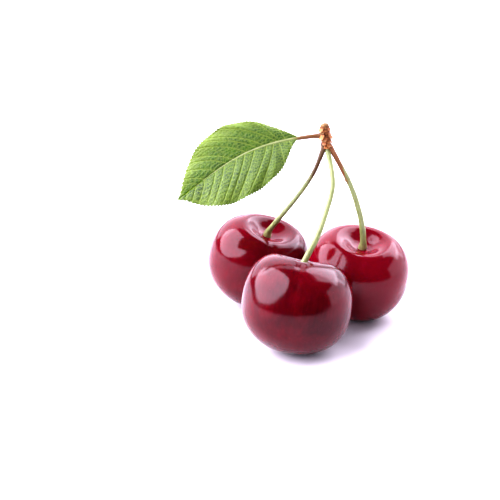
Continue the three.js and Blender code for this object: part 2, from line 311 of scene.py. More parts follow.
# %% Put the fruit together
reach = body
for part, operation in ((cavity, "SUBTRACT"), (shoulder, "ADD"), (dent, "SUBTRACT"), (uneven, "ADD")):
    reach = add(tree, MATH, [reach, part], operation=operation)
halves = [add(tree, MATH, [given[name], 0.5], operation="MULTIPLY") for name in ("Width", "Thickness")]
taller = add(tree, MATH, [given["Crown height"], given["Tip depth"]], operation="SUBTRACT")
height = add(tree, MATH, [above, taller, given["Tip depth"]], operation="MULTIPLY_ADD")
semiaxes = add(tree, "ShaderNodeCombineXYZ", [*halves, height])
sized = add(tree, VECTOR_MATH, [place, semiaxes], operation="MULTIPLY")
grown = add(tree, VECTOR_MATH, {0: sized, 3: reach}, operation="SCALE")
fruit = add(tree, "GeometryNodeSetPosition", {"Geometry": kept, "Position": grown})

# Lean it, then lower it until it is pressed flat by a hair where it rests.
scale = add(tree, "ShaderNodeCombineXYZ", [given["Size"]] * 3)
leaning = add(tree, "GeometryNodeTransform", {"Geometry": fruit, "Rotation": given["Lean"], "Scale": scale})
after = add(tree, "GeometryNodeInputPosition")
x, y, z = add(tree, "ShaderNodeSeparateXYZ", [after]).outputs
lowest = add(tree, "GeometryNodeAttributeStatistic", {"Geometry": leaning, "Attribute": z})
raised = add(tree, MATH, [z, lowest.outputs["Min"]], operation="SUBTRACT")
lowered = add(tree, MATH, [raised, given["Pressed"]], operation="SUBTRACT")
resting = add(tree, MATH, [lowered, 0.0], operation="MAXIMUM")
set_down = add(tree, "ShaderNodeCombineXYZ", [x, y, resting])
standing = add(tree, "GeometryNodeSetPosition", {"Geometry": leaning, "Position": set_down})
ripened = add(tree, STORE,
              {"Geometry": standing, "Name": "ripeness", "Value": given["Ripeness"]}, data_type="FLOAT")
close_tree(tree, ripened, given["Skin"])
print("fruit tree:", len(tree.nodes), "nodes")

# %% [markdown]
# ## Three fruits
# The same rule makes all three. Only the size, the lean of the stem axis, the higher side, the rim,
# the width of the cavity and the ripeness differ. Each one is moved sideways until its box is
# centred on its solid's box, and the move tells where the fruit's centre stands.

# %% Grow the fruits
# What all three share. Fullness is a power; a number without MM is otherwise a share of the radius.
ALIKE = {
    "Width": 28 * MM, "Thickness": 26.4 * MM, "Crown height": 12 * MM, "Tip depth": 12.9 * MM,
    "Fullness": 2.5, "Cavity share": 0.3, "Lopsided": 0.035, "Seam": 0.012, "Tip dent": 0.02,
    "Unevenness": 0.022, "Pressed": 0.22 * MM, "Skin": skin,
}
# What differs: "back", "right", "turn" and "high" are in degrees, and "cavity" is in radians.
FRUITS = {
    "front": {"size": 1.0, "back": 20, "right": 9, "turn": -6, "high": 180,
              "ripeness": 1.0, "saddle": 0.065, "cavity": 0.37},
    "left": {"size": 0.957, "back": -10, "right": 18, "turn": 8, "high": 40,
             "ripeness": 0.8, "saddle": 0.045, "cavity": 0.43},
    "right": {"size": 0.964, "back": -14, "right": 6, "turn": -8, "high": 150,
              "ripeness": 0.45, "saddle": 0.045, "cavity": 0.42},
}
FIRST_SEED, SEED_STEP = 3.1, 7.7
stem_beds = {}
for number, (name, fruit) in enumerate(FRUITS.items()):
    back, right, turn, high_side = (math.radians(fruit[key]) for key in ("back", "right", "turn", "high"))
    lean = Matrix.Rotation(-back, 3, "X") @ Matrix.Rotation(right, 3, "Y") @ Matrix.Rotation(turn, 3, "Z")
    piece = grow("fruit_" + name, fruit_tree, {
        **ALIKE, "Cavity angle": fruit["cavity"], "Saddle": fruit["saddle"], "High side": high_side,
        "Size": fruit["size"], "Lean": tuple(lean.to_euler()), "Ripeness": fruit["ripeness"],
        "Seed": FIRST_SEED + SEED_STEP * number,
    })
    low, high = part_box("fruit_" + name)
    corners = np.array([v.co for v in piece.data.vertices])
    middle = (corners.min(0) + corners.max(0)) / 2
    shift = Vector(((low.x + high.x) / 2 - middle[0], (low.y + high.y) / 2 - middle[1], 0))
    piece.data.transform(Matrix.Translation(shift))
    settle(piece, "fruit_skin", "fruit_" + name)
    top = np.array([v.co for v in piece.data.vertices])
    ball_top = max(range(len(top)), key=lambda i: piece.data.attributes["ball"].data[i].vector.z)
    stem_beds[name] = (Vector(top[ball_top]), lean @ Vector((0, 0, 1)), shift)
    print(name, "stem bed, mm:", [round(v / MM, 1) for v in stem_beds[name][0]])

# %% [markdown]
# ## From here on: one place for everything
# The rest of the bunch is laid out in millimetres from the point under the largest fruit's centre.
# That fruit's move says where this point lies in the part's own frame.

# %% Bench to frame
BENCH = stem_beds["front"][2]


def in_frame(point):
    """A point laid out in millimetres, in the part's frame in metres."""
    return Vector(point) * MM + BENCH


print("bench origin, mm:", [round(v / MM, 2) for v in BENCH])

# %% [markdown]
# ## Stem skin
# A cherry stem is smooth and waxy, pale yellow-green where it leaves the fruit and brown where it
# meets the wood, with brown streaks that run down from there and a few corky specks. The streaks
# gather on one side of the stem as painted shade. The stem tree below leaves three attributes for
# this finish: how brown a point is, how rusty that brown is, and where the point lies on the
# stem's round section.

# %% Stem finish
stem_skin, tree = open_finish(
    "waxy_stem_skin", Roughness=0.36, IOR=1.45,
    Subsurface_Weight=0.2, Subsurface_Scale=0.5 * MM, Subsurface_Radius=(0.8, 1.0, 0.3),
)
brown_here, rusty, along = (
    add(tree, ATTRIBUTE, attribute_name=name).outputs["Fac"] for name in ("browning", "rust", "along")
)
section = add(tree, ATTRIBUTE, attribute_name="section").outputs["Vector"]
across, beside, _ = add(tree, "ShaderNodeSeparateXYZ", [section]).outputs
place = add(tree, "ShaderNodeTexCoord").outputs["Object"]
# Patches about 2 mm long, so that no stretch of stem is one flat green.
patches = add(tree, NOISE, {"Vector": place, "Scale": 450.0, "Detail": 3.0})
green = add(tree, MIX, {0: patches, 6: linear("#697440"), 7: linear("#9ca472")}, data_type="RGBA")
# Streaks about an eighth of a turn wide and 2.6 mm long on a stem of 30 mm.
down_stem = add(tree, MATH, [along, 9.0], operation="MULTIPLY")
grain_place = add(tree, "ShaderNodeCombineXYZ", [across, beside, down_stem])
streaks = add(tree, NOISE, {"Vector": grain_place, "Scale": 1.3, "Detail": 3.0})
# Painted shade: the streaks are browner on one side of the stem's section and fewer on the other.
one_sided_painted_shade = add(tree, MATH, [across, 0.22, brown_here], operation="MULTIPLY_ADD")
shaken = add(tree, MATH, [streaks, 0.8, one_sided_painted_shade], operation="MULTIPLY_ADD")
turning = add(tree, RANGE, [shaken, 0.75, 1.0, 0, 1])
near_wood = add(tree, RANGE, [brown_here, 0.0, 0.15, 0, 1])
shown = add(tree, MATH, [turning, near_wood], operation="MULTIPLY")
browns = add(tree, MIX, {0: rusty, 6: linear("#4d3c20"), 7: linear("#815126")}, data_type="RGBA")
browned = add(tree, MIX, {0: shown, 6: green.outputs[2], 7: browns.outputs[2]}, data_type="RGBA")
# The foot in the cavity is paler, almost cream.
foot = add(tree, RANGE, [along, 0.07, 0.0, 0, 0.6])
# Corky specks of 0.3 mm, about 1.1 mm apart.
cells = add(tree, "ShaderNodeTexVoronoi", {"Vector": place, "Scale": 900.0})
specks = add(tree, RANGE, [cells, 0.16, 0.1, 0, 0.45])
colour = browned.outputs[2]
for amount, tint in ((foot, "#a49c6d"), (specks, "#6e512a")):
    colour = add(tree, MIX, {0: amount, 6: colour, 7: linear(tint)}, data_type="RGBA").outputs[2]
# Fibres, about 25 round the stem and 0.8 mm long, lift the surface a little.
fibres = add(tree, NOISE, {"Vector": grain_place, "Scale": 4.0, "Detail": 2.0})
close_finish(stem_skin, colour, fibres, strength=0.35, depth=0.08)

# %% [markdown]
# ## One tree for whatever grows along a path
# Stems, the leaf stalk and the ribs under the leaf are all round bars that follow a path and change
# thickness on the way. A tree does this once: a chain of points becomes a smooth curve, the curve
# gets a radius from its own length, and a circle is swept along it. Two bell-shaped swellings
# thicken its ends, a third makes the little knuckle where a bract once sat, and noise keeps it from
# looking drawn.

# %% The path tree
stalk_tree, given = open_tree(
    "stalk",
    "Radius, End radius, Foot swelling, Foot length, Head swelling, Head length, Knuckle at, "
    "Knuckle swelling, Unevenness, Browning, Brown from, Rust, Seed",
    Steps=COUNT, Sides=COUNT, Skin=MATERIAL,
)
tree = stalk_tree
chain = add(tree, "GeometryNodeMeshToCurve", [given["Geometry"]])
supple = add(tree, "GeometryNodeCurveSplineType", [chain], spline_type="CATMULL_ROM")
stepped = add(tree, "GeometryNodeResampleCurve", {"Curve": supple, "Count": given["Steps"]})
factor = add(tree, "GeometryNodeSplineParameter").outputs["Factor"]
radius = add(tree, MIX, {0: factor, 2: given["Radius"], 3: given["End radius"]})
KNUCKLE_LENGTH = 0.012
SWELLINGS = [
    (0.0, given["Foot length"], given["Foot swelling"]),
    (1.0, given["Head length"], given["Head swelling"]),
    (given["Knuckle at"], KNUCKLE_LENGTH, given["Knuckle swelling"]),
]
for centre, length, swelling in SWELLINGS:
    here = bell(tree, factor, centre, length)
    radius = add(tree, MATH, [here, swelling, radius], operation="MULTIPLY_ADD")
browned = add(tree, RANGE, [factor, given["Brown from"], 1.0, 0.0, given["Browning"]])
ring = add(tree, "GeometryNodeCurvePrimitiveCircle", {"Resolution": given["Sides"], "Radius": 1.0})
print("stalk tree's path and radius:", len(tree.nodes), "nodes")

# %% The attributes and the sweep
line = stepped
for name, value in {"along": factor, "browning": browned, "rust": given["Rust"]}.items():
    line = add(tree, STORE, {"Geometry": line, "Name": name, "Value": value}, data_type="FLOAT")
place = add(tree, "GeometryNodeInputPosition")
section = add(tree, STORE, {"Geometry": ring, "Name": "section", "Value": place}, data_type="FLOAT_VECTOR")
swept = add(tree, "GeometryNodeCurveToMesh",
            {"Curve": line, "Profile Curve": section, "Scale": radius, "Fill Caps": True})
moved = add(tree, VECTOR_MATH, [place, given["Seed"]], operation="ADD")
lumps = add(tree, NOISE, {"Vector": moved, "Scale": 420.0, "Detail": 2.0})
centred = add(tree, MATH, [lumps, 0.5], operation="SUBTRACT")
uneven = add(tree, MATH, [centred, given["Unevenness"]], operation="MULTIPLY")
normal = add(tree, "GeometryNodeInputNormal")
push = add(tree, VECTOR_MATH, {0: normal, 3: uneven}, operation="SCALE")
knobbly = add(tree, "GeometryNodeSetPosition", {"Geometry": swept, "Offset": push})
close_tree(tree, knobbly, given["Skin"])
print("stalk tree:", len(tree.nodes), "nodes")

# %% [markdown]
# ## The spur's place, and the three stems
# Every stem leaves its fruit square to the cavity's floor, bends on its way and ends in a ring
# under the spur. The two outer stems turn brown towards the wood, one greyish and one rusty, and
# the middle one stays green.

# %% Spur frame and stems
SPUR_TOP, SPUR_BOTTOM = Vector((6.95, 17, 55.2)), Vector((7.7, 17, 48.8))
spur_axis = (SPUR_BOTTOM - SPUR_TOP).normalized()
spur_side = (Vector((1, 0, 0)) - spur_axis * spur_axis.x).normalized()
spur_away = spur_side.cross(spur_axis)
SPUR_LENGTH = (SPUR_BOTTOM - SPUR_TOP).length


def by_spur(along, bearing, radius):
    """A point by the spur, in millimetres: this far down, at a bearing in degrees and a radius."""
    turn = math.radians(bearing)
    return SPUR_TOP + spur_axis * along + (spur_side * math.cos(turn) + spur_away * math.sin(turn)) * radius


STEMS = {
    "front": {"bearing": 95, "through": [(5.0, 5.9, 28.5), (7.6, 9.3, 34.8), (9.1, 12.6, 41.0)],
              "browning": 0.0, "rust": 0.6, "knuckle": 0.5, "swelling": 0.0, "lower": 0.8, "upper": 0.62},
    "left": {"bearing": 215, "through": [(-4.1, 26.3, 26.0), (0.6, 23.0, 33.4), (4.6, 19.7, 41.2)],
             "browning": 0.9, "rust": 0.1, "knuckle": 0.6, "swelling": 0.05, "lower": 0.72, "upper": 0.52},
    "right": {"bearing": -25, "through": [(17.4, 18.3, 26.0), (16.2, 18.0, 31.6), (13.7, 17.6, 38.8)],
              "browning": 1.0, "rust": 0.85, "knuckle": 0.66, "swelling": 0.13, "lower": 0.82, "upper": 0.6},
}
FOOT_RADIUS, HEAD_RADIUS = 1.15, 0.7
# A stem starts a little inside its fruit, leaves it straight, and ends in a ring in the spur's foot.
START_DEPTH, STRAIGHT_PART, RING_DEPTH, RING_RADIUS = 0.1, 1.7, 0.55, 0.72
STEM_SEED_STEP = 0.37
for number, (name, stem) in enumerate(STEMS.items()):
    bed, axis, _ = stem_beds[name]
    path = [bed - axis * START_DEPTH * MM, bed + axis * STRAIGHT_PART * MM]
    path += [in_frame(point) for point in stem["through"]]
    path.append(in_frame(by_spur(SPUR_LENGTH - RING_DEPTH, stem["bearing"], RING_RADIUS)))
    piece = grow("stem_" + name, stalk_tree, {
        "Radius": stem["lower"] * MM, "End radius": stem["upper"] * MM,
        "Foot swelling": (FOOT_RADIUS - stem["lower"]) * MM, "Foot length": 0.05,
        "Head swelling": (HEAD_RADIUS - stem["upper"]) * MM, "Head length": 0.12,
        "Knuckle at": stem["knuckle"], "Knuckle swelling": stem["swelling"] * MM, "Steps": 160, "Sides": 20,
        "Unevenness": 0.16 * MM, "Browning": stem["browning"], "Brown from": 0.52, "Rust": stem["rust"],
        "Seed": STEM_SEED_STEP * number, "Skin": stem_skin,
    }, chained(path))
    settle(piece, "stem_skin", "stem_" + name)

# %% [markdown]
# ## The leaf's surface as a rule
# A cherry leaf is a thin blade folded a little along its midrib. Side veins leave the midrib in
# turn, run out and forwards, and bend towards the tip before they reach a saw-toothed margin. On
# the upper side the veins lie in furrows and the blade swells between them. A grid that runs along
# those veins can show all of this: one number says where a side vein would meet the margin, the
# other how far out along it a point lies.

# %% Leaf outline and middle surface
LEAF_BASE, LEAF_TIP = np.array([0.28, 16.5, 51.39]), np.array([-30.3, 9.16, 37.22])
LEAF_LENGTH = float(np.linalg.norm(LEAF_TIP - LEAF_BASE))
leaf_along = (LEAF_TIP - LEAF_BASE) / LEAF_LENGTH
leaf_face = np.array([-0.1, -0.78, 0.62])
leaf_face -= leaf_along * (leaf_face @ leaf_along)
leaf_face /= np.linalg.norm(leaf_face)
leaf_up = np.cross(leaf_along, leaf_face)
UPPER, LOWER = 1, -1
HALF_WIDTH, TAPER = {UPPER: 8.8, LOWER: 10.6}, {UPPER: 0.4, LOWER: 0.75}
VEIN_SLANT = {UPPER: 1.45, LOWER: 1.0}
TEETH, TOOTH_DEPTH = 46, 0.55
MARGIN, MARGIN_WIDTH = 0.93, 0.07
# Half the width where the blade ends, the midrib's bow, and what lifts the blade off its flat plane.
END_WIDTH, BOW = 0.3, 2.3
FOLD, DROOP, ARCH, RIPPLE = math.tan(math.radians(14)), 1.9, 1.6, 0.35


def smooth(x):
    """An S-shaped step from 0 to 1."""
    x = np.clip(x, 0, 1)
    return x * x * (3 - 2 * x)


def half_width(t, side):
    """The blade's half width at a share of its length."""
    power = 0.55 + TAPER[side] * (1 - t) ** 5 + 0.25 * t**8
    return END_WIDTH + HALF_WIDTH[side] * np.maximum(0, np.sin(np.pi * t)) ** power * (1 - t**10)


def vein_start(t, side):
    """Where on the midrib the vein leaves that meets the margin at t."""
    return np.maximum(0, t - VEIN_SLANT[side] * smooth(t / 0.6) * half_width(t, side) / LEAF_LENGTH)


def midrib_bow(t):
    """How far the midrib bows towards the upper half."""
    return BOW * np.sin(np.pi * t) * (1.35 - 0.75 * t)


def leaf_point(t, out, side, lift):
    """Points of the leaf in millimetres, for arrays t and out, lifted from its middle surface."""
    start = vein_start(t, side)
    share = start + (t - start) * (0.62 * out + 0.38 * out**2)
    tooth = (t * TEETH) % 1
    edge = TOOTH_DEPTH * (tooth - 0.5) * smooth((out - MARGIN) / MARGIN_WIDTH)
    edge = edge * smooth(t / 0.1) * smooth((1 - t) / 0.05)
    across = half_width(t, side) * out + edge
    rise = (
        FOLD * half_width(t, side) * out
        - DROOP * out**3 * np.sin(np.pi * t)
        + ARCH * np.sin(np.pi * share)
        + RIPPLE * out**2 * np.sin(9 * np.pi * t + side)
    )
    return (
        LEAF_BASE
        + np.multiply.outer(share * LEAF_LENGTH, leaf_along)
        + np.multiply.outer(midrib_bow(share) + side * across, leaf_up)
        + np.multiply.outer(rise + lift, leaf_face)
    )


print("leaf length, mm:", round(LEAF_LENGTH, 1))

# %% [markdown]
# ## Veins and the swellings between them
# Three orders of vein make the relief: the midrib, the side veins, and the cross veins that join
# them like rungs. Side veins are numbered evenly along the midrib, and a point's number tells how
# far it is from the nearest vein. That gap is turned to real millimetres with the local spacing, so
# a furrow keeps its width all over the blade. The same numbers go with the mesh as attributes, and
# the finish colours the veins with them.

# %% Vein pattern
SIDE_VEINS = 13
RUNG_SPACING = 0.8
MIDRIB_WIDTH, VEIN_WIDTH, RUNG_WIDTH = 0.34, 0.13, 0.1
rng = np.random.default_rng(7)
rung_offsets = {UPPER: rng.uniform(0, 1, SIDE_VEINS + 2), LOWER: rng.uniform(0, 1, SIDE_VEINS + 2)}


def hump(gap, width):
    """A bell that is 1 where the gap is 0 and fades away within a width or two."""
    return np.exp(-((gap / width) ** 2))


def vein_number(t, side):
    """Counts side veins from the leaf's base; whole numbers lie on a vein."""
    even = SIDE_VEINS * (0.22 * t + 0.78 * vein_start(t, side))
    return even + 0.16 * np.sin(2.3 * even + side) + 0.09 * np.sin(4.1 * even)


def vein_strengths(t, out, side):
    """How strongly midrib, side veins and rungs show at each point, and the swelling between."""
    step = 0.002
    number = vein_number(t, side)
    forward = leaf_point(t + step, out, side, 0) - leaf_point(t - step, out, side, 0)
    further = np.minimum(out + 0.01, 1)
    outward = leaf_point(t, further, side, 0) - leaf_point(t, further - 0.02, side, 0)
    outward /= np.linalg.norm(outward, axis=-1, keepdims=True)
    beside = np.linalg.norm(forward - outward * (forward * outward).sum(-1, keepdims=True), axis=-1)
    spacing = beside / np.maximum(1e-4, vein_number(t + step, side) - vein_number(t - step, side))
    gap = np.abs(number - np.round(number)) * spacing
    fading = smooth((1 - out) / 0.1) * smooth(number / 0.6)
    side_vein = hump(gap, VEIN_WIDTH) * fading
    width = half_width(t, side)
    midrib = hump(width * out, MIDRIB_WIDTH * (1.2 - 0.8 * t))
    cell = np.clip(np.floor(number).astype(int), 0, SIDE_VEINS + 1)
    phase = number - cell
    lean = rung_offsets[side][cell]
    rung = width * out / RUNG_SPACING + lean + 0.6 * phase + 0.25 * np.sin(2 * np.pi * phase + 9 * lean)
    rung_gap = np.abs(rung - np.round(rung)) * RUNG_SPACING
    rungs = hump(rung_gap, RUNG_WIDTH) * smooth((1 - out) / 0.1)
    swelling = np.sin(np.pi * np.clip(phase, 0, 1)) ** 0.7 * smooth(spacing / 1.6)
    return midrib, side_vein, rungs, swelling

# %% The blade's points
ROWS_PER_TOOTH = np.array([0, 0.14, 0.28, 0.42, 0.56, 0.7, 0.84, 0.94])
t_rows = np.append(((np.arange(TEETH)[:, None] + ROWS_PER_TOOTH) / TEETH).ravel(), 1.0)
# Columns stand closer beside the midrib and along the toothed margin.
BESIDE_MIDRIB = 0.06
out_columns = np.concatenate([
    np.linspace(0, BESIDE_MIDRIB, 5)[:-1],
    np.linspace(BESIDE_MIDRIB, MARGIN, 60)[:-1],
    np.linspace(MARGIN, 1, 5),
])
THICKNESS_MM, EDGE_THINNING = 0.26, 0.45
MIDRIB_FURROW, VEIN_FURROW, RUNG_FURROW = 0.2, 0.13, 0.07
VEIN_RELIEF, RUNG_RELIEF = 0.12, 0.04
SWELL = {UPPER: 0.08, LOWER: 0.13}
layers = {"upper": [], "under": []}
marks = []
for side in (LOWER, UPPER):
    t, out = np.meshgrid(t_rows, out_columns, indexing="ij")
    midrib, side_vein, rungs, swelling = vein_strengths(t, out, side)
    swell = SWELL[side] * swelling * smooth((1 - out) / 0.25) * smooth(out / 0.12)
    furrow = MIDRIB_FURROW * midrib + VEIN_FURROW * side_vein + RUNG_FURROW * rungs
    half = THICKNESS_MM / 2 * (1 - EDGE_THINNING * smooth((out - 0.9) / 0.1))
    layers["upper"].append(leaf_point(t, out, side, half + swell - furrow))
    relief = -half + swell - VEIN_RELIEF * side_vein - RUNG_RELIEF * rungs
    layers["under"].append(leaf_point(t, out, side, relief))
    marks.append(np.stack([np.maximum(midrib, side_vein), rungs, out, np.full_like(out, side == LOWER)], -1))


def joined(halves):
    """The lower half turned round, then the upper half, as one grid from margin to margin."""
    return np.concatenate([halves[0][:, :0:-1], halves[1]], axis=1)


upper, under, marks = joined(layers["upper"]), joined(layers["under"]), joined(marks)
print("blade grid:", upper.shape[:2])

# %% The blade's mesh
rows, columns = upper.shape[:2]
points = np.concatenate([upper.reshape(-1, 3), under.reshape(-1, 3)])
index = np.arange(rows * columns).reshape(rows, columns)
corner = [index[:-1, :-1], index[1:, :-1], index[1:, 1:], index[:-1, 1:]]
top_faces = np.stack([c.ravel() for c in corner], -1)
under_faces = top_faces[:, ::-1] + rows * columns
rim = np.concatenate([index[0, :-1], index[:-1, -1], index[-1, :0:-1], index[:0:-1, 0]])
ahead = np.roll(rim, -1)
rim_faces = np.stack([rim, ahead, ahead + rows * columns, rim + rows * columns], -1)
faces = np.concatenate([top_faces, under_faces, rim_faces])
blade_mesh = bpy.data.meshes.new("leaf_blade")
blade_mesh.from_pydata([tuple(in_frame(p)) for p in points], [], faces.tolist())
for column, name in enumerate(("vein", "rung", "outward", "lower")):
    mark(blade_mesh, name, [marks[..., column], marks[..., column]])
mark(blade_mesh, "upper", np.repeat([1, 0], rows * columns))
blade_mesh.shade_smooth()
blade = show("leaf_blade", blade_mesh)
print("blade:", len(blade_mesh.vertices), "points")

# %% [markdown]
# ## The leaf's finish
# The upper side of a cherry leaf is satin. Here its upper half is yellow-green with a darker
# middle, its lower half is cooler and a little frosted, which is painted sheen from the light above,
# and the margin is the yellowest. Veins are paler than the blade. The under side is paler and
# duller all over, and light that falls through the blade comes out yellow-green. A net of tiny
# veins, its meshes about 0.8 mm across and too fine for the blade's grid, is drawn on top.

# %% Leaf finish
leaf_skin, tree = open_finish(
    "satin_leaf_skin", IOR=1.4, Subsurface_Weight=0.25, Subsurface_Scale=0.4 * MM,
    Subsurface_Radius=(0.7, 1.0, 0.15),
)
vein, rung, outward, lower, upper_side = (
    add(tree, ATTRIBUTE, attribute_name=name).outputs["Fac"]
    for name in ("vein", "rung", "outward", "lower", "upper")
)
place = add(tree, "ShaderNodeTexCoord").outputs["Object"]
# Blotches of about 3 mm.
blotches = add(tree, NOISE, {"Vector": place, "Scale": 300.0, "Detail": 4.0, "Roughness": 0.65})
blotchy = add(tree, RANGE, [blotches, 0.35, 0.65, 0, 1])
# The lower half's cooler, greyer green is painted sheen: it stands in for the light that half reflects.
upper_green, lower_green_painted_sheen = (
    add(tree, MIX, {0: blotchy, 6: linear(dark), 7: linear(light)}, data_type="RGBA").outputs[2]
    for dark, light in (("#224102", "#3a5c08"), ("#1f3a0b", "#375019"))
)
green = add(tree, MIX, {0: lower, 6: upper_green, 7: lower_green_painted_sheen}, data_type="RGBA")
# The margin is yellower, twice as much on the upper half.
margin_band = add(tree, RANGE, [outward, 0.55, 0.97, 0, 1])
spared = add(tree, RANGE, [lower, 0, 1, 1, 0.5])
margin = add(tree, MATH, [margin_band, spared], operation="MULTIPLY")
net = add(tree, "ShaderNodeTexVoronoi", {"Vector": place, "Scale": 1300.0}, feature="DISTANCE_TO_EDGE")
net_line = add(tree, RANGE, [net, 0.2, 0.02, 0, 0.55])
rung_line = add(tree, MATH, [rung, 0.7], operation="MULTIPLY")
vein_line = add(tree, MATH, [vein, 0.85], operation="MULTIPLY")
colour = green.outputs[2]
layers_of_green = (margin, "#576b04"), (net_line, "#627827"), (rung_line, "#667a2b"), (vein_line, "#748737")
for amount, tint in layers_of_green:
    colour = add(tree, MIX, {0: amount, 6: colour, 7: linear(tint)}, data_type="RGBA").outputs[2]

print("leaf colours:", len(tree.nodes), "nodes")

# %% Its two sides
under_pale = add(tree, MIX, {0: 0.45, 6: colour, 7: linear("#5d7130")}, data_type="RGBA").outputs[2]
sided = add(tree, MIX, {0: upper_side, 6: under_pale, 7: colour}, data_type="RGBA")
# The roughness is 0.5 on the upper side and 0.7 on the duller under side.
dull = add(tree, RANGE, [upper_side, 0, 1, 0.7, 0.5])
tree.links.new(dull.outputs[0], tree.nodes["Principled BSDF"].inputs["Roughness"])
raised = add(tree, RANGE, [net, 0.0, 0.16, 0, 1])
close_finish(leaf_skin, sided.outputs[2], raised, strength=0.8, depth=0.08)
blade_mesh.materials.append(leaf_skin)
settle(blade, "leaf", "leaf")

# %% [markdown]
# ## Stalk and ribs
# The leaf stalk enters the blade from the spur and goes on under it as the midrib, with the side
# veins standing out as ribs. All of them follow paths, so the stalk tree makes them: first the
# midrib with its stalk, from the leaf's tip to the wood, then every side rib from its own chain of
# points on the blade's under side.

# %% Stalk and midrib
MIDRIB_POINTS, MIDRIB_REACH, MIDRIB_LIFT = 14, 0.93, -0.8 * THICKNESS_MM
STALK_BEARING, STALK_END_RADIUS, STALK_BEND = 180, 0.75, 0.1
midrib_t = np.linspace(MIDRIB_REACH, 0, MIDRIB_POINTS)
middle = leaf_point(midrib_t, np.zeros(MIDRIB_POINTS), UPPER, MIDRIB_LIFT)
stalk_root = np.array(by_spur(SPUR_LENGTH * 0.5, STALK_BEARING, STALK_END_RADIUS))
halfway = stalk_root * 0.5 + LEAF_BASE * 0.5 + leaf_face * STALK_BEND
path = [in_frame(point) for point in [*middle, halfway, stalk_root]]
# Neither the stalk nor a rib has a swollen foot or a knuckle.
SLIM = {"Foot swelling": 0, "Foot length": 0.1, "Knuckle at": 0.5, "Knuckle swelling": 0, "Skin": stem_skin}
stalk = grow("leaf_stalk", stalk_tree, {
    **SLIM, "Radius": 0.1 * MM, "End radius": 0.6 * MM, "Head swelling": 0.3 * MM, "Head length": 0.03,
    "Steps": 160, "Sides": 16, "Unevenness": 0.06 * MM,
    "Browning": 0.95, "Brown from": 0.7, "Rust": 0.4, "Seed": 2.1,
}, chained(path))
settle(stalk, "leaf", "leaf")

# %% Side ribs
RIB_POINTS, RIB_LIFT = 12, -0.22
rib_points, rib_edges = [], []
fine_t = np.linspace(0, 1, 400)
rib_out = np.linspace(0.03, 0.88, RIB_POINTS)
for side in (LOWER, UPPER):
    for number in range(1, SIDE_VEINS - 1):
        t = np.interp(number, vein_number(fine_t, side), fine_t)
        first = len(rib_points)
        rib_points += [in_frame(p) for p in leaf_point(np.full(RIB_POINTS, t), rib_out, side, RIB_LIFT)]
        rib_edges += [(first + i, first + i + 1) for i in range(RIB_POINTS - 1)]
ribs = grow("leaf_ribs", stalk_tree, {
    **SLIM, "Radius": 0.16 * MM, "End radius": 0.05 * MM, "Head swelling": 0, "Head length": 0.1,
    "Steps": 24, "Sides": 8, "Unevenness": 0, "Browning": 0, "Brown from": 0.5, "Rust": 0, "Seed": 0.4,
}, chained(rib_points, rib_edges))
settle(ribs, "leaf", "leaf")

# %% [markdown]
# ## Bark of the spur
# A fruiting spur is a stub of wood that grows a few millimetres in many years. Its bark is
# orange-brown and rough and greyer at the old broken top, and the creases between its rings get a
# painted shade of dark red-brown. The body below leaves an attribute that says how deep in a crease
# a point lies.

# %% Bark
bark, tree = open_finish("rough_spur_bark", Roughness=0.75, IOR=1.5)
place = add(tree, "ShaderNodeTexCoord").outputs["Object"]
# Bark flakes of about 0.7 mm.
flakes = add(tree, NOISE, {"Vector": place, "Scale": 1500.0, "Detail": 5.0, "Roughness": 0.65})
flaky = add(tree, RANGE, [flakes, 0.36, 0.64, 0, 1])
brown = add(tree, MIX, {0: flaky, 6: linear("#68330e"), 7: linear("#a26d38")}, data_type="RGBA")
height = add(tree, "ShaderNodeSeparateXYZ", [place]).outputs["Z"]
GREY_FROM, GREY_AT = 53.4, 54.8
old_top = add(tree, RANGE, [height, GREY_FROM * MM, GREY_AT * MM, 0, 0.6])
# Painted shade: the creases between the rings are darkened to red-brown.
deep = add(tree, ATTRIBUTE, attribute_name="crease").outputs["Fac"]
colour = brown.outputs[2]
for amount, tint in ((old_top, "#756440"), (deep, "#511b0a")):
    colour = add(tree, MIX, {0: amount, 6: colour, 7: linear(tint)}, data_type="RGBA").outputs[2]
close_finish(bark, colour, flakes, strength=0.8, depth=0.12)

# %% [markdown]
# ## The spur's body
# The stub is turned like a lathe profile from top to bottom, with a swollen ring at each tier of
# scales and a wider foot where the stems sit. Two slow waves and seeded noise then push its skin in
# and out, which no lathe does, and narrow creases run round it between the yearly rings.

# %% Spur
import bmesh

SPUR_RADIUS, RING_SWELLING, FOOT_SWELLING = 1.0, 0.16, 0.5
YEARS, CREASE_WIDTH, CREASE_DEPTH, GRIT = 9, 0.011, 0.12, 0.018
RINGS, ROUND = 140, 96
degrees = np.linspace(0, 360, ROUND, endpoint=False)
share, bearing = np.meshgrid(np.linspace(0, 1, RINGS), degrees, indexing="ij")
turn = np.radians(bearing)
dome = np.sqrt(np.maximum(0, 1 - (1 - np.minimum(1, share / 0.18)) ** 2))
knuckles = RING_SWELLING * np.cos(6 * np.pi * share) + RING_SWELLING * hump(share - 0.14, 0.12)
foot_ring = FOOT_SWELLING * hump(share - 1.06, 0.14)
lumps = 0.12 * np.sin(2 * turn + 9 * share) * np.sin(15 * share) + 0.07 * np.sin(5 * turn - 21 * share)
wavering = share + 0.012 * np.sin(2 * turn + 1) + 0.008 * np.sin(5 * turn)
ring_gap = np.abs(wavering * YEARS - np.round(wavering * YEARS)) / YEARS
crease = hump(ring_gap, CREASE_WIDTH) * smooth((share - 0.08) / 0.1)
rng = np.random.default_rng(11)
grit = rng.standard_normal((RINGS, ROUND))
grit = GRIT * (grit + np.roll(grit, 1, 0) + np.roll(grit, 1, 1) + np.roll(grit, (1, 1), (0, 1)))
radius = dome * (SPUR_RADIUS + knuckles + foot_ring + lumps + grit - CREASE_DEPTH * crease)
print("spur radius, mm:", round(radius.min(), 2), "to", round(radius.max(), 2))

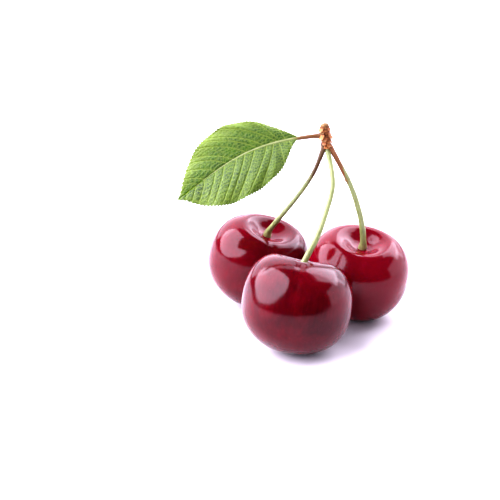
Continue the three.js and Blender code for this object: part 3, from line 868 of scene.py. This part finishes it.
# %% Its faces
places = zip((SPUR_LENGTH * share).ravel(), bearing.ravel(), radius.ravel())
points = [in_frame(by_spur(*place)) for place in places]
points.append(in_frame(by_spur(SPUR_LENGTH, 0, 0)))
index = np.arange(RINGS * ROUND).reshape(RINGS, ROUND)
beside = np.roll(index, -1, 1)
faces = np.stack([index[:-1], beside[:-1], beside[1:], index[1:]], -1).reshape(-1, 4).tolist()
faces += [(index[-1, i], beside[-1, i], RINGS * ROUND) for i in range(ROUND)]
spur_mesh = bpy.data.meshes.new("spur_body")
spur_mesh.from_pydata(points, [], faces)
mark(spur_mesh, "crease", np.append(crease, 0))
print("spur:", len(points), "points")

# %% Close its pole and turn its faces outwards
shell = bmesh.new()
shell.from_mesh(spur_mesh)
bmesh.ops.remove_doubles(shell, verts=shell.verts, dist=0.001 * MM)
bmesh.ops.recalc_face_normals(shell, faces=shell.faces)
shell.to_mesh(spur_mesh)
shell.free()
spur_mesh.shade_smooth()
spur_mesh.materials.append(bark)
spur = show("spur_body", spur_mesh)
settle(spur, "bark", "spur")

# %% [markdown]
# ## Bud scales
# Each spring a bud opens and leaves its dry scales round the spur: papery tongues, tan with darker
# roots and ragged pale tips. They are one shape many times over, so a tree copies one curved tongue
# to a point for each scale, turns it to that point's bearing, and varies its size and tone from a
# fixed seed before it makes real faces of the copies.

# %% Scale finish
scale_skin, tree = open_finish("dry_papery_scale", Roughness=0.6, IOR=1.45)
tone, down, across = (
    add(tree, ATTRIBUTE, attribute_name=name).outputs["Fac"] for name in ("tone", "down", "across")
)
# Fibres of about 0.1 mm run along each scale.
fibre_place = add(tree, "ShaderNodeCombineXYZ", [across, down, tone])
drawn = add(tree, VECTOR_MATH, [fibre_place, (14, 2.5, 9)], operation="MULTIPLY")
fibres = add(tree, NOISE, {"Vector": drawn, "Scale": 1.0, "Detail": 3.0})
fibrous = add(tree, RANGE, [fibres, 0.35, 0.65, 0, 1])
root = add(tree, RANGE, [down, 0.3, 0.0, 0, 0.75])
tip = add(tree, RANGE, [down, 0.75, 1.0, 0, 0.45])
colour = linear("#773f14")
for amount, tint in ((tone, "#b2824e"), (fibrous, "#8b5325"), (root, "#45180a"), (tip, "#baa271")):
    colour = add(tree, MIX, {0: amount, 6: colour, 7: linear(tint)}, data_type="RGBA").outputs[2]
close_finish(scale_skin, colour, fibres, strength=0.5, depth=0.06)

# %% Scale tree
scale_tree, given = open_tree(
    "bud_scales", "Length, Span, Flare, Thickness, Radius, Smallest, Largest",
    Tilt=VECTOR, Seed=COUNT, Skin=MATERIAL,
)
tree = scale_tree
kept = add(tree, "GeometryNodeMeshGrid", {"Size X": 1.0, "Size Y": 1.0, "Vertices X": 13, "Vertices Y": 13})
place = add(tree, "GeometryNodeInputPosition")
across, forward, _ = add(tree, "ShaderNodeSeparateXYZ", [place]).outputs
down = add(tree, MATH, [forward, 0.5], operation="ADD")
for name, value in {"down": down, "across": across}.items():
    kept = add(tree, STORE, {"Geometry": kept, "Name": name, "Value": value}, data_type="FLOAT")
# The outline narrows to a rounded tip, which the sheet stops just short of.
TIP_REACH, TIP_POWER = 0.94, 2.2
reached = add(tree, MATH, [down, TIP_REACH], operation="MULTIPLY")
reached_power = add(tree, MATH, [reached, TIP_POWER], operation="POWER")
remaining = add(tree, MATH, [1.0, reached_power], operation="SUBTRACT")
narrowing = add(tree, MATH, [remaining], operation="SQRT")
angle = add(tree, MATH, [across, given["Span"]], operation="MULTIPLY")
narrowed = add(tree, MATH, [angle, narrowing], operation="MULTIPLY")
# It lies on the spur at its root and flares away from it at its tip.
down_square = add(tree, MATH, [down, down], operation="MULTIPLY")
distance = add(tree, MATH, [down_square, given["Flare"], given["Radius"]], operation="MULTIPLY_ADD")
cosine = add(tree, MATH, [narrowed], operation="COSINE")
outward = add(tree, MATH, [cosine, distance], operation="MULTIPLY")
sine = add(tree, MATH, [narrowed], operation="SINE")
sideways = add(tree, MATH, [sine, distance], operation="MULTIPLY")
length = add(tree, MATH, [down, given["Length"]], operation="MULTIPLY")
curved = add(tree, "ShaderNodeCombineXYZ", [outward, sideways, length])
tongue = add(tree, "GeometryNodeSetPosition", {"Geometry": kept, "Position": curved})
print("scale tree's tongue:", len(tree.nodes), "nodes")

# %% Its thickness
# A raised copy of the sheet with side walls, and the sheet itself turned over as its back.
walls = add(tree, "GeometryNodeExtrudeMesh",
            {"Mesh": tongue, "Offset Scale": given["Thickness"], "Individual": False}, mode="FACES")
back = add(tree, "GeometryNodeFlipFaces", [tongue])
closed = add(tree, "GeometryNodeJoinGeometry")
for shell_part in (walls, back):
    tree.links.new(shell_part.outputs[0], closed.inputs[0])
welded = add(tree, "GeometryNodeMergeByDistance", {"Geometry": closed, "Distance": 0.002 * MM})
print("with its thickness:", len(tree.nodes), "nodes")

# %% Copies of the tongue
tone = add(tree, "FunctionNodeRandomValue", {2: 0.0, 3: 1.0, 8: given["Seed"]})
toned = add(tree, STORE,
            {"Geometry": given["Geometry"], "Name": "tone", "Value": tone.outputs[1]}, data_type="FLOAT")
bearing = add(tree, "GeometryNodeInputNamedAttribute", {"Name": "bearing"}, data_type="FLOAT")
spin = add(tree, "ShaderNodeCombineXYZ", [0.0, 0.0, bearing])
spun = add(tree, "FunctionNodeEulerToRotation", [spin])
tilted = add(tree, "FunctionNodeEulerToRotation", [given["Tilt"]])
turned = add(tree, "FunctionNodeRotateRotation", [spun, tilted], rotation_space="GLOBAL")
size = add(tree, "FunctionNodeRandomValue", {2: given["Smallest"], 3: given["Largest"], 8: given["Seed"]})
copies = add(tree, "GeometryNodeInstanceOnPoints",
             {"Points": toned, "Instance": welded, "Rotation": turned, "Scale": size.outputs[1]})
close_tree(tree, copies, given["Skin"])
print("scale tree:", len(tree.nodes), "nodes")

# %% [markdown]
# ## Scales in a spiral
# Buds set their scales in a spiral: each one stands 137.5 degrees round from the last and a little
# further on. A row of points on the spur's axis, each with its own bearing, is all the tree needs.

# %% Grow the scales
GOLDEN_TURN = 137.5
SCALES, FIRST_SCALE, LAST_SCALE = 20, 0.7, 5.2
FIRST_TURN, TURN_SHIFT, DOWN_SHIFT = 200, 25, 0.15
rng = np.random.default_rng(5)
roots, bearings = [], []
for number in range(SCALES):
    even = FIRST_SCALE + (LAST_SCALE - FIRST_SCALE) * number / (SCALES - 1)
    along = even + rng.uniform(-DOWN_SHIFT, DOWN_SHIFT)
    roots.append(tuple(in_frame(by_spur(along, 0, 0))))
    turn = FIRST_TURN + GOLDEN_TURN * number + rng.uniform(-TURN_SHIFT, TURN_SHIFT)
    bearings.append(-math.radians(turn))
tilt = Matrix((spur_side, -spur_away, spur_axis)).transposed().to_euler()
carrier = bpy.data.meshes.new("scale_roots")
carrier.from_pydata(roots, [], [])
mark(carrier, "bearing", bearings)
scales = grow("bud_scales", scale_tree, {
    "Length": 1.15 * MM, "Span": 1.3, "Flare": 0.52 * MM, "Thickness": 0.12 * MM, "Radius": 1.16 * MM,
    "Tilt": tuple(tilt), "Smallest": 0.8, "Largest": 1.2, "Seed": 4, "Skin": scale_skin,
}, carrier)
settle(scales, "bud_scale", *[f"bud_scale_{number}" for number in range(1, 9)])

# %% [markdown]
# ## Floor, light and camera
# A pale floor reaches past the view. One large round softbox stands at the left and leans over the
# bunch, a broad panel glows behind, a small one hangs above at the right and lights up the stem
# cavities, and a weak one fills from the right. The side towards the camera stays dim, so that the
# front of each fruit keeps its deep red.

# %% Studio
aim = in_frame((-11.876, 15.521, 21.183))
FLOOR_REACH = 3.0
signs = [(-1, -1), (1, -1), (1, 1), (-1, 1)]
floor_mesh = bpy.data.meshes.new("floor")
floor_mesh.from_pydata([(x * FLOOR_REACH, y * FLOOR_REACH, 0) for x, y in signs], [], [(0, 1, 2, 3)])
floor = show("floor", floor_mesh)
floor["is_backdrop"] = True
paper, _ = open_finish("matt_white_table", Roughness=0.6, Base_Color=linear("#d3d1d4"))
floor_mesh.materials.append(paper)

world = bpy.data.worlds.new("room")
bpy.context.scene.world = world
world.use_nodes = True
background = world.node_tree.nodes["Background"]
background.inputs["Color"].default_value = linear("#f6ecff")
background.inputs["Strength"].default_value = 0.15
print("floor and room light:", floor.name, world.name)

# %% Lamps
# Each lamp's shape, its direction from the bunch, its distance and size in metres, its roll in
# degrees and its power in watts.
LAMPS = {
    "softbox_left": ("ELLIPSE", (-0.76, -0.12, 0.67), 0.6, (1.08, 0.9), 30, 20.0),
    "panel_behind": ("RECTANGLE", (0.05, 0.8, 0.57), 0.9, (2.5, 1.1), 0, 26.0),
    "panel_above": ("RECTANGLE", (0.7, 0.5, 0.8), 0.9, (0.7, 0.7), 0, 8.0),
    "fill_right": ("RECTANGLE", (0.97, 0.1, 0.24), 0.8, (0.9, 0.5), 0, 3.8),
}
LAMP_COLOUR = (0.96, 0.91, 1.08)
for name, (shape, direction, away, size, roll, power) in LAMPS.items():
    light = bpy.data.lights.new(name, "AREA")
    light.shape, light.energy, light.color = shape, power, LAMP_COLOUR
    light.size, light.size_y = size
    stand = show(name, light)
    way = Vector(direction).normalized()
    stand.location = aim + way * away
    facing = way.to_track_quat("Z", "Y").to_matrix() @ Matrix.Rotation(math.radians(roll), 3, "Z")
    stand.rotation_euler = facing.to_euler()
    print(name, "at", [round(v, 2) for v in stand.location])

# %% Camera
ELEVATION, DISTANCE = math.radians(22), 0.42
SENSOR_MM, LENS_MM = 36, 116.42
camera = bpy.data.cameras.new("camera")
camera.sensor_width, camera.lens = SENSOR_MM, LENS_MM
viewer = show("camera", camera)
back_to_viewer = Vector((0, -math.cos(ELEVATION), math.sin(ELEVATION)))
viewer.location = aim + back_to_viewer * DISTANCE
viewer.rotation_euler = back_to_viewer.to_track_quat("Z", "Y").to_euler()
camera.clip_start, camera.clip_end = 0.01, 20
bpy.context.scene.camera = viewer
bpy.context.scene.view_settings.view_transform = "Standard"
bpy.context.scene.view_settings.look = "High Contrast"
print("camera at", [round(v, 3) for v in viewer.location])

# %% [markdown]
# ## The size of the looks
# The box round all the looks is measured and printed.

# %% Size of the looks
low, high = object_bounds()
print("looks' box, mm:", [round((h - l) / MM, 1) for l, h in zip(low, high)])
